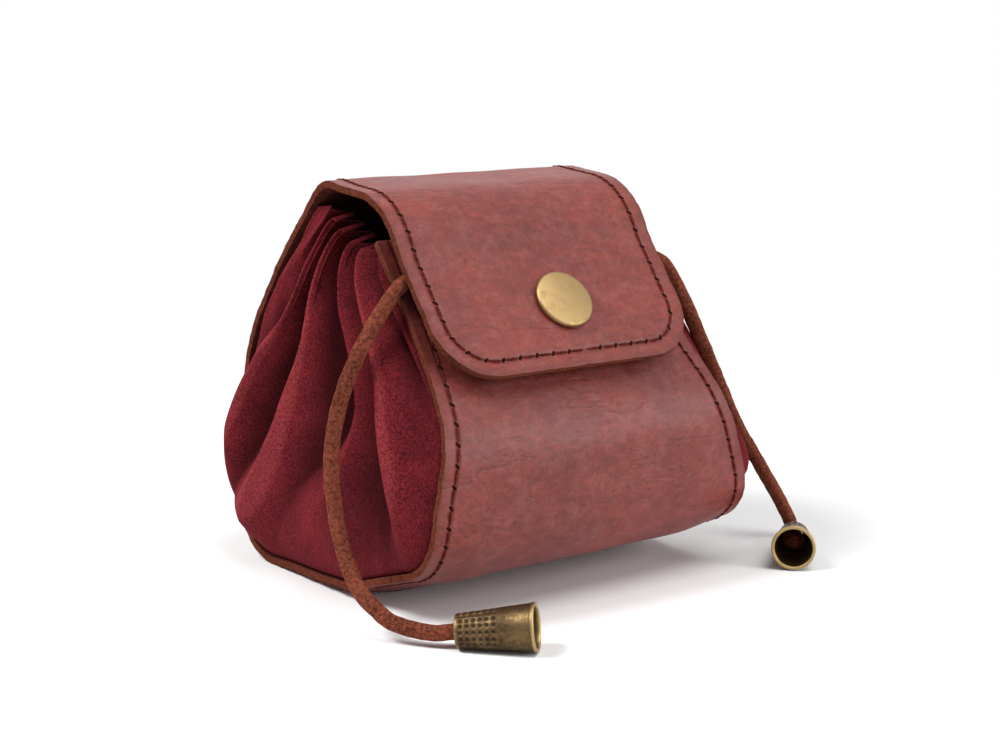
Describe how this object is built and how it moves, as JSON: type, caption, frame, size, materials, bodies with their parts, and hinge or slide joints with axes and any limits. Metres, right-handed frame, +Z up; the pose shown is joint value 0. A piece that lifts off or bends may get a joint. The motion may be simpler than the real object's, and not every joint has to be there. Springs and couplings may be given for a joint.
{
  "type": "drawstring pouch",
  "caption": "Small leather pouch with a snap flap, pleated suede sides, a leather drawstring and a brass bell on each cord end.",
  "frame": {"origin": "middle of the bag's bounding box in plan, on the table under its base", "axes": "+Z up, -Y towards the flap's front with the snap, +X to the right seen from the front"},
  "size_m": [0.139, 0.1176, 0.099],
  "materials": {
    "leather": "waxed, worn",
    "suede": "napped, matte",
    "cord": "matte",
    "brass": "antique, worn",
    "thread": "waxed"
  },
  "bodies": {
    "pouch": {"body_panel": "leather", "left_gusset": "suede", "right_gusset": "suede", "snap_stud": "brass", "snap_post": "brass", "drawstring_run": "cord", "left_cord": "cord", "right_cord": "cord", "left_knot": "cord", "right_knot": "cord", "left_seam_thread": "thread", "right_seam_thread": "thread"},
    "flap": {"flap_panel": "leather", "snap_cap": "brass", "snap_socket": "brass", "snap_spring": "brass", "flap_thread": "thread"},
    "left_bell": {"left_bell": "brass"},
    "right_bell": {"right_bell": "brass"}
  },
  "joints": [
    {"name": "flap_hinge", "type": "hinge", "parent": "pouch", "child": "flap", "pos_m": [0, 0.01704, 0.09508], "axis": [-1, 0, 0], "range_deg": [0, 170]},
    {"name": "left_bell_slide", "type": "slide", "parent": "pouch", "child": "left_bell", "axis": [-0.7032, 0.7032, -0.1051], "range_m": [0, 0.004]},
    {"name": "right_bell_slide", "type": "slide", "parent": "pouch", "child": "right_bell", "axis": [0.7032, 0.7032, -0.1051], "range_m": [0, 0.004]}
  ]
}
